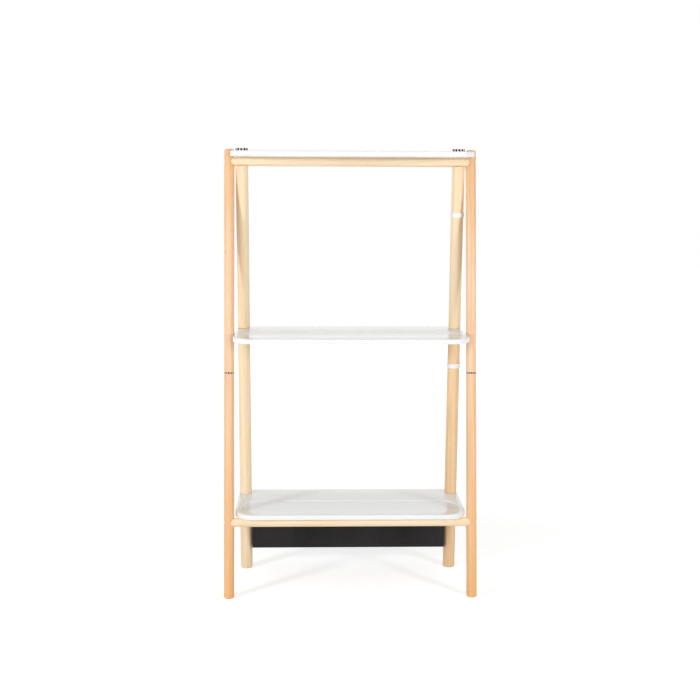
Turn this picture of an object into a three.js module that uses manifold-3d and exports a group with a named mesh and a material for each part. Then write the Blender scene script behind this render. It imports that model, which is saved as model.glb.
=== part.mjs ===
// Plant ladder stand, in millimetres. +Z is up, the viewer stands on the -Y side.
// A leaning front frame and two upright back legs carry three identical trays. The back legs are
// stacks of dowels that clamp the trays between them, and a folded sheet trough for cables hangs
// under the bottom tray. Y = 0 is where the front legs' axes meet the floor until the last step,
// which moves the origin to the middle of the stand's footprint.

import * as THREE from 'three';
import { mergeVertices } from 'three/addons/utils/BufferGeometryUtils.js';
import Module from 'manifold-3d';

const wasm = await Module();
wasm.setup();

// ---------------------------------------------------------------- driving dimensions

const fitGap = 0.3;              // clearance between pieces that touch
const edgeBreak = 0.6;           // small chamfer on sawn dowel ends

const leanDegrees = 11.2;        // how far the front frame leans back from upright
const frontLegRadius = 11;
const frontLegAboveTray = 5;     // how far the legs' axes end above the top tray
const frontLegSpacing = 522;     // between the two leg axes
const frontTopRounding = 3;
const frontFootChamfer = 3;

const backLegRadius = 13.5;
const backLegInset = 15;         // from a tray's end to a back leg's axis
const backFootChamfer = 2.5;
const saddleDepth = 1;           // how far the back legs' tops wrap up round the top crossbar

const crossbarRadius = 9.5;
const crossbarForward = 1;       // crossbar axes lie this far in front of the front legs' axes

const trayLegGap = 1;            // between a tray's end and each front leg
const trayDepth = 192;
const trayThickness = 10.7;
const trayFrontCorner = 40;
const trayBackCorner = 20;
const trayEdgeRounding = 1.5;
const trayFrontToBackLeg = 167.7;
const trayTop = { bottom: 178.3, middle: 558, top: 939.6 };

const recessDepth = 1.5;         // shallow well in the tray's front part
const recessFrontMargin = 16.5;
const recessSideMargin = 9.5;
const recessLength = 90;
const recessFrontCorner = 26;
const recessBackCorner = 44;
const recessSlope = 1.2;         // width of the sloping edge round the well

const slotCount = 12;            // castellations round each ring and cap
const slotDegrees = 17.5;
const ringFlange = 0.8;
const ringSlotHeight = 2.6;
const coreRadius = 8.3;          // dark core seen through the slots
const capFlange = 2;
const capHeight = 8;

const studRadius = 3;
const insertRadius = 5;
const insertLength = 14;
const studEmbed = 25;            // stud length held in the dowel below a joint
const studReach = 17;            // stud length above the joint, in the insert

const boltHeadRadius = 4.2;
const boltHeadLength = 3.2;
const boltRecessDepth = 4.2;
const boltReach = { bottom: 27, top: 10 };     // bolt length inside each crossbar
const boltSocketRadius = 2.3;
const boltSocketDepth = 1.8;

const pinRadius = 2.5;
const pinInTray = 22;
const pinInLeg = 16;

const sheet = 1.5;               // trough steel
const troughSideGap = 1;         // between the trough's ends and the back legs
const troughFrontY = 165;        // outer face of the tall front wall
const troughDepth = 38;
const troughFloorZ = 50.5;
const troughBackHeight = 40;
const troughEndHeight = 62;
const troughFlange = 20;
const troughBend = 3.5;          // radius at the middle of the sheet
const troughScrewX = [-165, 0, 165];
const screwRadius = 1.8;
const screwHeadRadius = 4;
const screwHeadLength = 2.2;
const screwGrip = 8;             // screw length in the tray

const clipHeight = 10;
const clipWall = 1.4;
const clipOpening = { start: 75, end: 165 };   // degrees from +X, behind the leg
const clipHookAngle = 50;
const clipHookRadius = 3.6;      // inside radius of the cable hook
const clipHookOpening = { start: 60, end: 140 };
const clipEdge = 0.35;
const clipCentreZ = { upper: 807, lower: 473.5 };

const fullTurn = 360;
const dowelSegments = 40;
const hiddenSegments = 16;

// ---------------------------------------------------------------- positions that follow

const lean = THREE.MathUtils.degToRad(leanDegrees);
const frontLegX = frontLegSpacing / 2;
const trayWidth = 2 * (frontLegX - frontLegRadius - trayLegGap);
const backLegX = trayWidth / 2 - backLegInset;
const trayBottom = (name) => trayTop[name] - trayThickness;
const crossbarZ = (name) => trayBottom(name) - fitGap - crossbarRadius;
const frontLegY = (z) => z * Math.tan(lean);
const crossbarY = (name) => frontLegY(crossbarZ(name)) - crossbarForward;
const backLegY = crossbarY('top');
const trayFrontY = backLegY - trayFrontToBackLeg;
const frontLegLength = (trayTop.top + frontLegAboveTray) / Math.cos(lean);
const jointCentre = frontLegLength / 2;        // along the front leg
const ringHeight = ringFlange + ringSlotHeight;
const backLegTopZ = crossbarZ('top') - crossbarRadius - fitGap + saddleDepth;
const troughHalfWidth = backLegX - backLegRadius - troughSideGap;
const sides = { left: -1, right: 1 };

// ---------------------------------------------------------------- geometry helpers

function toSolid(geometry) {
  const bare = geometry.index ? geometry.toNonIndexed() : geometry.clone();
  bare.deleteAttribute('normal');
  bare.deleteAttribute('uv');
  const welded = mergeVertices(bare, 1e-4);
  return new wasm.Manifold(new wasm.Mesh({
    numProp: 3,
    vertProperties: new Float32Array(welded.attributes.position.array),
    triVerts: new Uint32Array(welded.index.array),
  }));
}

function toGeometry(solid) {
  const mesh = solid.getMesh();
  const geometry = new THREE.BufferGeometry();
  geometry.setAttribute('position', new THREE.BufferAttribute(mesh.vertProperties, 3));
  geometry.setIndex(new THREE.BufferAttribute(mesh.triVerts, 1));
  return geometry;
}

function cut(geometry, tools) {
  return toGeometry(tools.reduce((left, tool) => left.subtract(toSolid(tool)), toSolid(geometry)));
}

function join(geometries) {
  return toGeometry(geometries.map(toSolid).reduce((sum, next) => sum.add(next)));
}

function keep(geometry, limit) {
  return toGeometry(toSolid(geometry).intersect(toSolid(limit)));
}

// A turned shape about +Z from [radius, height] pairs.
function turned(profile, segments = dowelSegments) {
  const points = profile.map(([radius, height]) => new THREE.Vector2(radius, height));
  return new THREE.LatheGeometry(points, segments).rotateX(Math.PI / 2);
}

// A round rod about +Z with chamfered ends.
function rod(radius, bottom, top, chamfer = 0, segments = dowelSegments) {
  if (chamfer === 0) {
    return turned([[0, bottom], [radius, bottom], [radius, top], [0, top]], segments);
  }
  return turned([
    [0, bottom],
    [radius - chamfer, bottom],
    [radius, bottom + chamfer],
    [radius, top - chamfer],
    [radius - chamfer, top],
    [0, top],
  ], segments);
}

// The same rod laid along +X from `start` to `end`.
function rodAlongX(radius, start, end, chamfer = 0, segments = hiddenSegments) {
  return rod(radius, start, end, chamfer, segments).rotateY(Math.PI / 2);
}

function sleeve(innerRadius, outerRadius, bottom, top, segments = hiddenSegments) {
  return turned([
    [innerRadius, bottom],
    [outerRadius, bottom],
    [outerRadius, top],
    [innerRadius, top],
    [innerRadius, bottom],
  ], segments);
}

// A wedge from the Z axis outwards, centred on `degrees` from +X.
function wedge(degrees, width, radius, bottom, height) {
  const shape = new THREE.Shape();
  shape.moveTo(0, 0);
  for (const turn of [-width / 2, width / 2]) {
    const angle = THREE.MathUtils.degToRad(degrees + turn);
    shape.lineTo(radius * Math.cos(angle), radius * Math.sin(angle));
  }
  const geometry = new THREE.ExtrudeGeometry(shape, { depth: height, bevelEnabled: false });
  return geometry.translate(0, 0, bottom);
}

// A rectangle with one radius for its two front corners and one for its two back corners.
function plateShape(halfWidth, front, back, frontCorner, backCorner) {
  const shape = new THREE.Shape();
  shape.moveTo(-halfWidth + frontCorner, front);
  shape.absarc(halfWidth - frontCorner, front + frontCorner, frontCorner, -Math.PI / 2, 0);
  shape.absarc(halfWidth - backCorner, back - backCorner, backCorner, 0, Math.PI / 2);
  shape.absarc(-halfWidth + backCorner, back - backCorner, backCorner, Math.PI / 2, Math.PI);
  shape.absarc(-halfWidth + frontCorner, front + frontCorner, frontCorner, Math.PI, 1.5 * Math.PI);
  return shape;
}

// From the front leg's own frame, axis along +Z from the floor, to its place in the stand.
function placeOnFrontLeg(geometry, side) {
  return geometry.rotateX(-lean).translate(side * frontLegX, 0, 0);
}

function placeOnBackLeg(geometry, side) {
  return geometry.translate(side * backLegX, backLegY, 0);
}

// ---------------------------------------------------------------- castellated ring and cap

// A ring with a plain flange below and evenly spaced teeth above; one slot faces the viewer.
function castellatedRing(outerRadius, bottom, flange, height, topBreak) {
  const top = bottom + height;
  const ring = turned([
    [coreRadius + fitGap, bottom],
    [outerRadius, bottom],
    [outerRadius, top - topBreak],
    [outerRadius - topBreak, top],
    [coreRadius + fitGap, top],
    [coreRadius + fitGap, bottom],
  ]);
  const slots = [];
  for (let slot = 0; slot < slotCount; slot += 1) {
    const degrees = -90 + slot * fullTurn / slotCount;
    slots.push(wedge(degrees, slotDegrees, 2 * outerRadius, bottom + flange, height));
  }
  return cut(ring, slots);
}

// ---------------------------------------------------------------- front frame

function boltHole(name, side) {
  const outer = side * (frontLegX + frontLegRadius);
  const seat = outer - side * boltRecessDepth;
  const through = rodAlongX(studRadius + fitGap, side > 0 ? 0 : outer, side > 0 ? outer : 0);
  const recess = rodAlongX(
    boltHeadRadius + fitGap,
    Math.min(seat, outer + side * 5),
    Math.max(seat, outer + side * 5),
  );
  return [through, recess].map((tool) => tool.translate(0, crossbarY(name), crossbarZ(name)));
}

function trayPinBore(side) {
  const inner = frontLegX - frontLegRadius - 5;
  const end = frontLegX - frontLegRadius + pinInLeg + fitGap;
  const bore = rodAlongX(pinRadius + fitGap, side > 0 ? inner : -end, side > 0 ? end : -inner);
  return bore.translate(0, frontLegY(trayMiddleZ()), trayMiddleZ());
}

function trayMiddleZ() {
  return trayTop.middle - trayThickness / 2;
}

function frontLegLower(side) {
  const top = jointCentre - ringSlotHeight / 2 - ringFlange - fitGap;
  const dowel = placeOnFrontLeg(rod(frontLegRadius, -20, top), side);
  const sole = frontLegRadius - frontFootChamfer;
  const flare = 150;
  const limit = turned([
    [0, 0],
    [sole, 0],
    [sole + flare, flare],
    [sole + flare, frontLegLength],
    [0, frontLegLength],
  ]).translate(side * frontLegX, 0, 0);
  const studBore = placeOnFrontLeg(
    rod(studRadius + fitGap, top - studEmbed - fitGap, top + 1, 0, hiddenSegments),
    side,
  );
  return cut(keep(dowel, limit), [studBore, ...boltHole('bottom', side)]);
}

function frontLegUpper(side) {
  const bottom = jointCentre + ringSlotHeight / 2 + fitGap;
  const round = [];
  for (let step = 0; step <= 4; step += 1) {
    const angle = step / 4 * Math.PI / 2;
    round.push([
      frontLegRadius - frontTopRounding * (1 - Math.cos(angle)),
      frontLegLength - frontTopRounding * (1 - Math.sin(angle)),
    ]);
  }
  const dowel = turned([[0, bottom], [frontLegRadius, bottom], ...round, [0, frontLegLength]]);
  const insertBore = rod(
    insertRadius + fitGap, bottom - 1, bottom + insertLength + fitGap, 0, hiddenSegments,
  );
  const studBore = rod(
    studRadius + fitGap, bottom, bottom + studReach + 2 * fitGap, 0, hiddenSegments,
  );
  return cut(placeOnFrontLeg(dowel, side), [
    placeOnFrontLeg(insertBore, side),
    placeOnFrontLeg(studBore, side),
    ...boltHole('top', side),
    trayPinBore(side),
  ]);
}

function frontLegRing(side) {
  const bottom = jointCentre - ringSlotHeight / 2 - ringFlange;
  return placeOnFrontLeg(
    castellatedRing(frontLegRadius, bottom, ringFlange, ringHeight, 0), side,
  );
}

// A stud with a dark collar that fills the ring.
function frontLegStud(side) {
  const lowerFace = jointCentre - ringSlotHeight / 2 - ringFlange - fitGap;
  const upperFace = jointCentre + ringSlotHeight / 2 + fitGap;
  return placeOnFrontLeg(turned([
    [0, lowerFace - studEmbed],
    [studRadius, lowerFace - studEmbed],
    [studRadius, lowerFace + fitGap],
    [coreRadius, lowerFace + fitGap],
    [coreRadius, upperFace - fitGap],
    [studRadius, upperFace - fitGap],
    [studRadius, upperFace + studReach],
    [0, upperFace + studReach],
  ]), side);
}

function frontLegInsert(side) {
  const bottom = jointCentre + ringSlotHeight / 2 + fitGap;
  return placeOnFrontLeg(
    sleeve(studRadius + fitGap, insertRadius, bottom, bottom + insertLength), side,
  );
}

// A dowel whose ends are hollowed to wrap round the leaning legs.
function crossbar(name) {
  const place = (geometry) => geometry.translate(0, crossbarY(name), crossbarZ(name));
  const dowel = place(rodAlongX(crossbarRadius, -frontLegX, frontLegX, 0, dowelSegments));
  const tools = Object.values(sides).flatMap((side) => {
    const leg = placeOnFrontLeg(rod(frontLegRadius + fitGap, 0, frontLegLength), side);
    const face = side * (frontLegX - frontLegRadius);
    const deep = face - side * (boltReach[name] + fitGap);
    const bore = place(rodAlongX(
      studRadius + fitGap, Math.min(deep, side * frontLegX), Math.max(deep, side * frontLegX),
    ));
    return [leg, bore];
  });
  if (name === 'top') {
    tools.push(...Object.values(sides).map((side) => topStudHole(side)));
  }
  return cut(dowel, tools);
}

function topStudHole(side) {
  const hole = rod(studRadius + fitGap, backLegTopZ - 5, trayTop.top + 5, 0, hiddenSegments);
  return placeOnBackLeg(hole, side);
}

// A flush bolt from the outside of a leg into the crossbar's end.
function crossbarBolt(name, side) {
  const seat = frontLegX + frontLegRadius - boltRecessDepth;
  const tip = frontLegX - frontLegRadius - boltReach[name];
  const bolt = turned([
    [0, tip],
    [studRadius - edgeBreak, tip],
    [studRadius, tip + edgeBreak],
    [studRadius, seat + fitGap],
    [boltHeadRadius, seat + fitGap],
    [boltHeadRadius, seat + fitGap + boltHeadLength - edgeBreak],
    [boltHeadRadius - edgeBreak, seat + fitGap + boltHeadLength],
    [0, seat + fitGap + boltHeadLength],
  ], hiddenSegments);
  const head = seat + fitGap + boltHeadLength;
  const socket = rod(boltSocketRadius, head - boltSocketDepth, head + 1, 0, 6);
  const drilled = cut(bolt, [socket]);
  return drilled.rotateY(side * Math.PI / 2).translate(0, crossbarY(name), crossbarZ(name));
}

// ---------------------------------------------------------------- back legs

function insertBores(bottom) {
  return [
    rod(insertRadius + fitGap, bottom - 1, bottom + insertLength + fitGap, 0, hiddenSegments),
    rod(studRadius + fitGap, bottom, bottom + studReach + 2 * fitGap, 0, hiddenSegments),
  ];
}

function studBoreAtTop(top, depth = studEmbed) {
  return rod(studRadius + fitGap, top - depth - fitGap, top + 5, 0, hiddenSegments);
}

function backLegLower(side) {
  const top = trayBottom('bottom') - fitGap;
  const dowel = turned([
    [0, 0],
    [backLegRadius - backFootChamfer, 0],
    [backLegRadius, backFootChamfer],
    [backLegRadius, top - edgeBreak],
    [backLegRadius - edgeBreak, top],
    [0, top],
  ]);
  return placeOnBackLeg(cut(dowel, [studBoreAtTop(top)]), side);
}

function backLegMiddle(side) {
  const bottom = trayTop.bottom + fitGap;
  const top = trayBottom('middle') - fitGap;
  const dowel = rod(backLegRadius, bottom, top, edgeBreak);
  return placeOnBackLeg(cut(dowel, [...insertBores(bottom), studBoreAtTop(top)]), side);
}

// The top end is hollowed to seat the crossbar.
function backLegUpper(side) {
  const bottom = trayTop.middle + fitGap;
  const dowel = placeOnBackLeg(rod(backLegRadius, bottom, backLegTopZ, edgeBreak / 2), side);
  const bar = rodAlongX(crossbarRadius + fitGap, -frontLegX, frontLegX, 0, dowelSegments)
    .translate(0, crossbarY('top'), crossbarZ('top'));
  const bores = [...insertBores(bottom), studBoreAtTop(backLegTopZ)];
  return cut(dowel, [bar, ...bores.map((bore) => placeOnBackLeg(bore, side))]);
}

// The stud that passes up through a tray; `name` is the tray it clamps.
function backLegStud(name, side) {
  const seat = name === 'top' ? backLegTopZ : trayBottom(name) - fitGap;
  const tip = name === 'top' ? capTopZ() - 3 : trayTop[name] + fitGap + studReach;
  return placeOnBackLeg(rod(studRadius, seat - studEmbed, tip, edgeBreak, hiddenSegments), side);
}

function backLegInsert(name, side) {
  const bottom = trayTop[name] + fitGap;
  return placeOnBackLeg(
    sleeve(studRadius + fitGap, insertRadius, bottom, bottom + insertLength), side,
  );
}

function capTopZ() {
  return trayTop.top + fitGap + capHeight;
}

function backLegCap(side) {
  const bottom = trayTop.top + fitGap;
  return placeOnBackLeg(
    castellatedRing(backLegRadius, bottom, capFlange, capHeight, edgeBreak), side,
  );
}

// The dark threaded core inside the cap, closed at its top.
function backLegCapCore(side) {
  const bottom = trayTop.top + fitGap;
  const top = capTopZ() - 1;
  const roof = top - 1.5;
  return placeOnBackLeg(turned([
    [0, roof],
    [studRadius + fitGap, roof],
    [studRadius + fitGap, bottom],
    [coreRadius, bottom],
    [coreRadius, top - edgeBreak],
    [coreRadius - edgeBreak, top],
    [0, top],
  ]), side);
}

// ---------------------------------------------------------------- trays

function trayBoard(name) {
  const shape = plateShape(
    trayWidth / 2 - trayEdgeRounding,
    trayFrontY + trayEdgeRounding,
    trayFrontY + trayDepth - trayEdgeRounding,
    trayFrontCorner - trayEdgeRounding,
    trayBackCorner - trayEdgeRounding,
  );
  const board = new THREE.ExtrudeGeometry(shape, {
    depth: trayThickness - 2 * trayEdgeRounding,
    bevelThickness: trayEdgeRounding,
    bevelSize: trayEdgeRounding,
    bevelSegments: 2,
    curveSegments: 7,
  });
  return board.translate(0, 0, trayBottom(name) + trayEdgeRounding);
}

// The well is a plate whose lower edge slopes in.
function trayWell(name) {
  const front = trayFrontY + recessFrontMargin + recessSlope;
  const shape = plateShape(
    trayWidth / 2 - recessSideMargin - recessSlope,
    front,
    front + recessLength - 2 * recessSlope,
    recessFrontCorner - recessSlope,
    recessBackCorner - recessSlope,
  );
  const well = new THREE.ExtrudeGeometry(shape, {
    depth: 5,
    bevelThickness: recessDepth,
    bevelSize: recessSlope,
    bevelSegments: 1,
    curveSegments: 7,
  });
  return well.translate(0, 0, trayTop[name]);
}

function trayStudHoles(name) {
  return Object.values(sides).map((side) => placeOnBackLeg(
    rod(studRadius + fitGap, trayBottom(name) - 5, trayTop[name] + 5, 0, hiddenSegments), side,
  ));
}

function middleTrayPinHoles() {
  return Object.values(sides).map((side) => {
    const outer = trayWidth / 2 + 5;
    const inner = trayWidth / 2 - pinInTray - fitGap;
    const hole = rodAlongX(
      pinRadius + fitGap, side > 0 ? inner : -outer, side > 0 ? outer : -inner,
    );
    return hole.translate(0, frontLegY(trayMiddleZ()), trayMiddleZ());
  });
}

function troughScrewHoles() {
  return troughScrewX.map((x) => rod(
    screwRadius + fitGap, trayBottom('bottom') - 5, trayBottom('bottom') + screwGrip + fitGap,
    0, hiddenSegments,
  ).translate(x, troughScrewY(), 0));
}

function tray(name) {
  const extra = { bottom: troughScrewHoles, middle: middleTrayPinHoles, top: () => [] }[name]();
  return cut(trayBoard(name), [trayWell(name), ...trayStudHoles(name), ...extra]);
}

function middleTrayPin(side) {
  const inner = trayWidth / 2 - pinInTray;
  const outer = frontLegX - frontLegRadius + pinInLeg;
  return rod(pinRadius, inner, outer, edgeBreak, hiddenSegments)
    .rotateY(side * Math.PI / 2)
    .translate(0, frontLegY(trayMiddleZ()), trayMiddleZ());
}

// ---------------------------------------------------------------- cable trough

function troughScrewY() {
  return troughFrontY + troughFlange * 0.6;
}

// Points along a bend of the sheet's middle line, in the Y-Z plane.
function bend(centreY, centreZ, fromDegrees, toDegrees) {
  const points = [];
  for (let step = 0; step <= 4; step += 1) {
    const angle = THREE.MathUtils.degToRad(fromDegrees + (toDegrees - fromDegrees) * step / 4);
    points.push([
      centreY + troughBend * Math.cos(angle),
      centreZ + troughBend * Math.sin(angle),
    ]);
  }
  return points;
}

// Thickens an open line of points to a closed strip.
function stripShape(line, thickness) {
  const offset = (sign) => line.map(([y, z], index) => {
    const before = line[Math.max(index - 1, 0)];
    const after = line[Math.min(index + 1, line.length - 1)];
    const length = Math.hypot(after[0] - before[0], after[1] - before[1]);
    const shift = sign * thickness / 2 / length;
    return new THREE.Vector2(
      y - (after[1] - before[1]) * shift,
      z + (after[0] - before[0]) * shift,
    );
  });
  return new THREE.Shape([...offset(1), ...offset(-1).reverse()]);
}

// Extrudes a shape drawn in the Y-Z plane along +X.
function alongX(shape, start, end) {
  const geometry = new THREE.ExtrudeGeometry(shape, { depth: end - start, bevelEnabled: false });
  const turn = new THREE.Matrix4().makeBasis(
    new THREE.Vector3(0, 1, 0), new THREE.Vector3(0, 0, 1), new THREE.Vector3(1, 0, 0),
  );
  return geometry.applyMatrix4(turn).translate(start, 0, 0);
}

function cableTrough() {
  const half = sheet / 2;
  const front = troughFrontY + half;
  const back = troughFrontY + troughDepth - half;
  const floor = troughFloorZ + half;
  const flange = trayBottom('bottom') - fitGap - half;
  const folded = stripShape([
    [troughFrontY + troughFlange, flange],
    ...bend(front + troughBend, flange - troughBend, 90, 180),
    ...bend(front + troughBend, floor + troughBend, 180, 270),
    ...bend(back - troughBend, floor + troughBend, 270, 360),
    [back, troughFloorZ + troughBackHeight],
  ], sheet);
  const end = new THREE.Shape([
    ...bend(front + troughBend, floor + troughBend, 180, 270),
    ...bend(back - troughBend, floor + troughBend, 270, 360),
    [back, troughFloorZ + troughBackHeight - 4],
    [front, troughFloorZ + troughEndHeight],
  ].map(([y, z]) => new THREE.Vector2(y, z)));
  const trough = join([
    alongX(folded, -troughHalfWidth, troughHalfWidth),
    alongX(end, -troughHalfWidth, -troughHalfWidth + sheet),
    alongX(end, troughHalfWidth - sheet, troughHalfWidth),
  ]);
  return cut(trough, troughScrewX.map((x) => rod(
    screwRadius + fitGap, flange - 5, flange + 5, 0, hiddenSegments,
  ).translate(x, troughScrewY(), 0)));
}

function troughScrew(x) {
  const seat = trayBottom('bottom') - fitGap - sheet - fitGap;
  const tip = trayBottom('bottom') + screwGrip;
  return turned([
    [0, seat - screwHeadLength],
    [screwHeadRadius - edgeBreak, seat - screwHeadLength],
    [screwHeadRadius, seat - screwHeadLength / 2],
    [screwHeadRadius, seat],
    [screwRadius, seat],
    [screwRadius, tip - screwRadius],
    [0, tip],
  ], hiddenSegments).translate(x, troughScrewY(), 0);
}

// ---------------------------------------------------------------- cable clips

// Part of a ring between two angles, with softened edges.
function ringSector(innerRadius, outerRadius, startDegrees, endDegrees, segments) {
  const [start, end] = [startDegrees, endDegrees].map(THREE.MathUtils.degToRad);
  const shape = new THREE.Shape();
  shape.absarc(0, 0, outerRadius - clipEdge, start, end, false);
  shape.absarc(0, 0, innerRadius + clipEdge, end, start, true);
  shape.closePath();
  const sector = new THREE.ExtrudeGeometry(shape, {
    depth: clipHeight - 2 * clipEdge,
    bevelThickness: clipEdge,
    bevelSize: clipEdge,
    bevelSegments: 1,
    curveSegments: segments,
  });
  return sector.translate(0, 0, clipEdge - clipHeight / 2);
}

// An open band that snaps on the right back leg, with a small hook for a cable behind it.
function cableClip(name) {
  const inner = backLegRadius + fitGap;
  const outer = inner + clipWall;
  const band = ringSector(inner, outer, clipOpening.end, clipOpening.start + fullTurn, 24);
  const hookCentre = outer + clipHookRadius + clipWall / 4;
  const angle = THREE.MathUtils.degToRad(clipHookAngle);
  const hook = ringSector(
    clipHookRadius, clipHookRadius + clipWall,
    clipHookOpening.end, clipHookOpening.start + fullTurn, 12,
  ).translate(hookCentre * Math.cos(angle), hookCentre * Math.sin(angle), 0);
  const clip = join([band, hook]).translate(0, 0, clipCentreZ[name]);
  return placeOnBackLeg(clip, sides.right);
}

// ---------------------------------------------------------------- assembly

const finishes = {
  frontWood: { color: 0xf0b987, roughness: 0.55, metalness: 0 },
  backWood: { color: 0xf2dcb2, roughness: 0.55, metalness: 0 },
  barWood: { color: 0xf3d9ad, roughness: 0.55, metalness: 0 },
  ringWood: { color: 0xe9c6a2, roughness: 0.6, metalness: 0 },
  darkCore: { color: 0x241714, roughness: 0.6, metalness: 0.1 },
  whiteTray: { color: 0xe9ebea, roughness: 0.25, metalness: 0 },
  blackSheet: { color: 0x2b2b2d, roughness: 0.5, metalness: 0.3 },
  whiteClip: { color: 0xf0f0ee, roughness: 0.4, metalness: 0 },
  steel: { color: 0xa9abad, roughness: 0.35, metalness: 1 },
  brass: { color: 0xb8985a, roughness: 0.35, metalness: 1 },
};

const stand = new THREE.Group();
stand.name = 'plant_ladder_stand';

function add(name, geometry, finish) {
  const bare = geometry.clone();
  bare.deleteAttribute('normal');
  bare.deleteAttribute('uv');
  const solid = mergeVertices(bare, 1e-4);
  solid.computeVertexNormals();
  const mesh = new THREE.Mesh(solid, new THREE.MeshStandardMaterial(finishes[finish]));
  mesh.name = name;
  stand.add(mesh);
}

for (const [label, side] of Object.entries(sides)) {
  add(`front_leg_${label}_lower`, frontLegLower(side), 'frontWood');
  add(`front_leg_${label}_upper`, frontLegUpper(side), 'frontWood');
  add(`front_leg_${label}_ring`, frontLegRing(side), 'ringWood');
  add(`front_leg_${label}_stud`, frontLegStud(side), 'darkCore');
  add(`front_leg_${label}_insert`, frontLegInsert(side), 'brass');
  add(`back_leg_${label}_lower`, backLegLower(side), 'backWood');
  add(`back_leg_${label}_middle`, backLegMiddle(side), 'backWood');
  add(`back_leg_${label}_upper`, backLegUpper(side), 'backWood');
  add(`back_leg_${label}_cap`, backLegCap(side), 'ringWood');
  add(`back_leg_${label}_cap_core`, backLegCapCore(side), 'darkCore');
  add(`back_leg_${label}_insert_middle`, backLegInsert('bottom', side), 'brass');
  add(`back_leg_${label}_insert_upper`, backLegInsert('middle', side), 'brass');
  for (const name of Object.keys(trayTop)) {
    add(`back_leg_${label}_stud_${name}_tray`, backLegStud(name, side), 'steel');
  }
  for (const name of ['bottom', 'top']) {
    add(`crossbar_bolt_${name}_${label}`, crossbarBolt(name, side), 'steel');
  }
  add(`middle_tray_pin_${label}`, middleTrayPin(side), 'steel');
}

for (const name of ['bottom', 'top']) {
  add(`crossbar_${name}`, crossbar(name), 'barWood');
}
for (const name of Object.keys(trayTop)) {
  add(`${name}_tray`, tray(name), 'whiteTray');
}
add('cable_trough', cableTrough(), 'blackSheet');
troughScrewX.forEach((x, index) => {
  add(`trough_screw_${['left', 'middle', 'right'][index]}`, troughScrew(x), 'steel');
});
for (const name of Object.keys(clipCentreZ)) {
  add(`cable_clip_${name}`, cableClip(name), 'whiteClip');
}

// Moves the origin to the middle of the stand's box, on the floor.
const box = new THREE.Box3().setFromObject(stand);
const centre = box.getCenter(new THREE.Vector3());
for (const mesh of stand.children) {
  mesh.geometry.translate(-centre.x, -centre.y, -box.min.z);
}

export default stand;
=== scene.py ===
# %% [markdown]
# # A plant ladder stand
#
# The stand is two wooden frames that lean against each other, three white trays, a black cable
# trough and two cable clips. This lesson dresses the measured parts of the stand: each wooden
# dowel, tray and fitting is modelled again with softened edges, and each gets a finish made of
# nodes. Everything is in metres, +Z is up, and the viewer stands on the -Y side.

import math

import bpy
from mathutils import Matrix, Vector


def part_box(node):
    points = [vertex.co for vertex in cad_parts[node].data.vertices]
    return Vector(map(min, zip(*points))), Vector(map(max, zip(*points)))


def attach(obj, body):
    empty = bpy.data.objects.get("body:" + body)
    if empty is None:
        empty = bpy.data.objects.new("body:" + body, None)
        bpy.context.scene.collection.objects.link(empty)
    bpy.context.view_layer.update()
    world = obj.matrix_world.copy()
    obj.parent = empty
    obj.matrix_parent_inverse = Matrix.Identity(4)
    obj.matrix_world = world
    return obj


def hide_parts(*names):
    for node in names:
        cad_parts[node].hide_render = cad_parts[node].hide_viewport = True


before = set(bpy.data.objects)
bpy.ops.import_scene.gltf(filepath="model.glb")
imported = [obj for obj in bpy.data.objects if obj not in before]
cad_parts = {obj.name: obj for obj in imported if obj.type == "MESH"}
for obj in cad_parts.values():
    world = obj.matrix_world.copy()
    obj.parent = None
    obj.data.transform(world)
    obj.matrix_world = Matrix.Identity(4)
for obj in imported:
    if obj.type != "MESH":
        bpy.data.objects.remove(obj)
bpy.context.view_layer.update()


def rounded(values):
    return tuple(round(value, 4) for value in values)


# %% [markdown]
# ## The camera
#
# The photograph looks slightly down at the stand from its front and a little left. The numbers
# come from fitting a camera to the edges of the legs and trays. A shift moves the picture inside
# the frame without turning the camera, which keeps the upright legs from leaning.

# %% Camera
FRAME_PIXELS = 700
SENSOR_WIDTH = 36
CAMERA_PLACE = (-0.08107, -2.24503, 0.89234)
CAMERA_FOCAL_PIXELS = 1057.94
CAMERA_PITCH = 10.629
CAMERA_YAW = -1.634
CAMERA_ROLL = 0.285
CAMERA_CENTRE = (342.11, 372.82)


def camera_axes():
    """The camera's right, up and forward directions."""
    pitch, yaw, roll = map(math.radians, (CAMERA_PITCH, CAMERA_YAW, CAMERA_ROLL))
    level = math.cos(pitch)
    forward = Vector((-math.sin(yaw) * level, math.cos(yaw) * level, -math.sin(pitch)))
    level_right = Vector((math.cos(yaw), math.sin(yaw), 0))
    level_up = level_right.cross(forward)
    right = level_right * math.cos(roll) + level_up * math.sin(roll)
    up = level_up * math.cos(roll) - level_right * math.sin(roll)
    return right, up, forward


def place_camera():
    lens = bpy.data.cameras.new("camera")
    lens.sensor_width = SENSOR_WIDTH
    lens.lens = CAMERA_FOCAL_PIXELS * SENSOR_WIDTH / FRAME_PIXELS
    middle = (FRAME_PIXELS - 1) / 2
    lens.shift_x = (middle - CAMERA_CENTRE[0]) / FRAME_PIXELS
    lens.shift_y = (CAMERA_CENTRE[1] - middle) / FRAME_PIXELS
    camera = bpy.data.objects.new("camera", lens)
    bpy.context.scene.collection.objects.link(camera)
    right, up, forward = camera_axes()
    turn = Matrix((right, up, -forward)).transposed()
    camera.matrix_world = Matrix.Translation(CAMERA_PLACE) @ turn.to_4x4()
    bpy.context.scene.camera = camera
    return camera


camera = place_camera()
print("lens", round(camera.data.lens, 2), "mm")

# %% [markdown]
# ## Sizes that every piece shares
#
# The lean of the front frame can't be read from a box, so it is named here.

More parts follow.
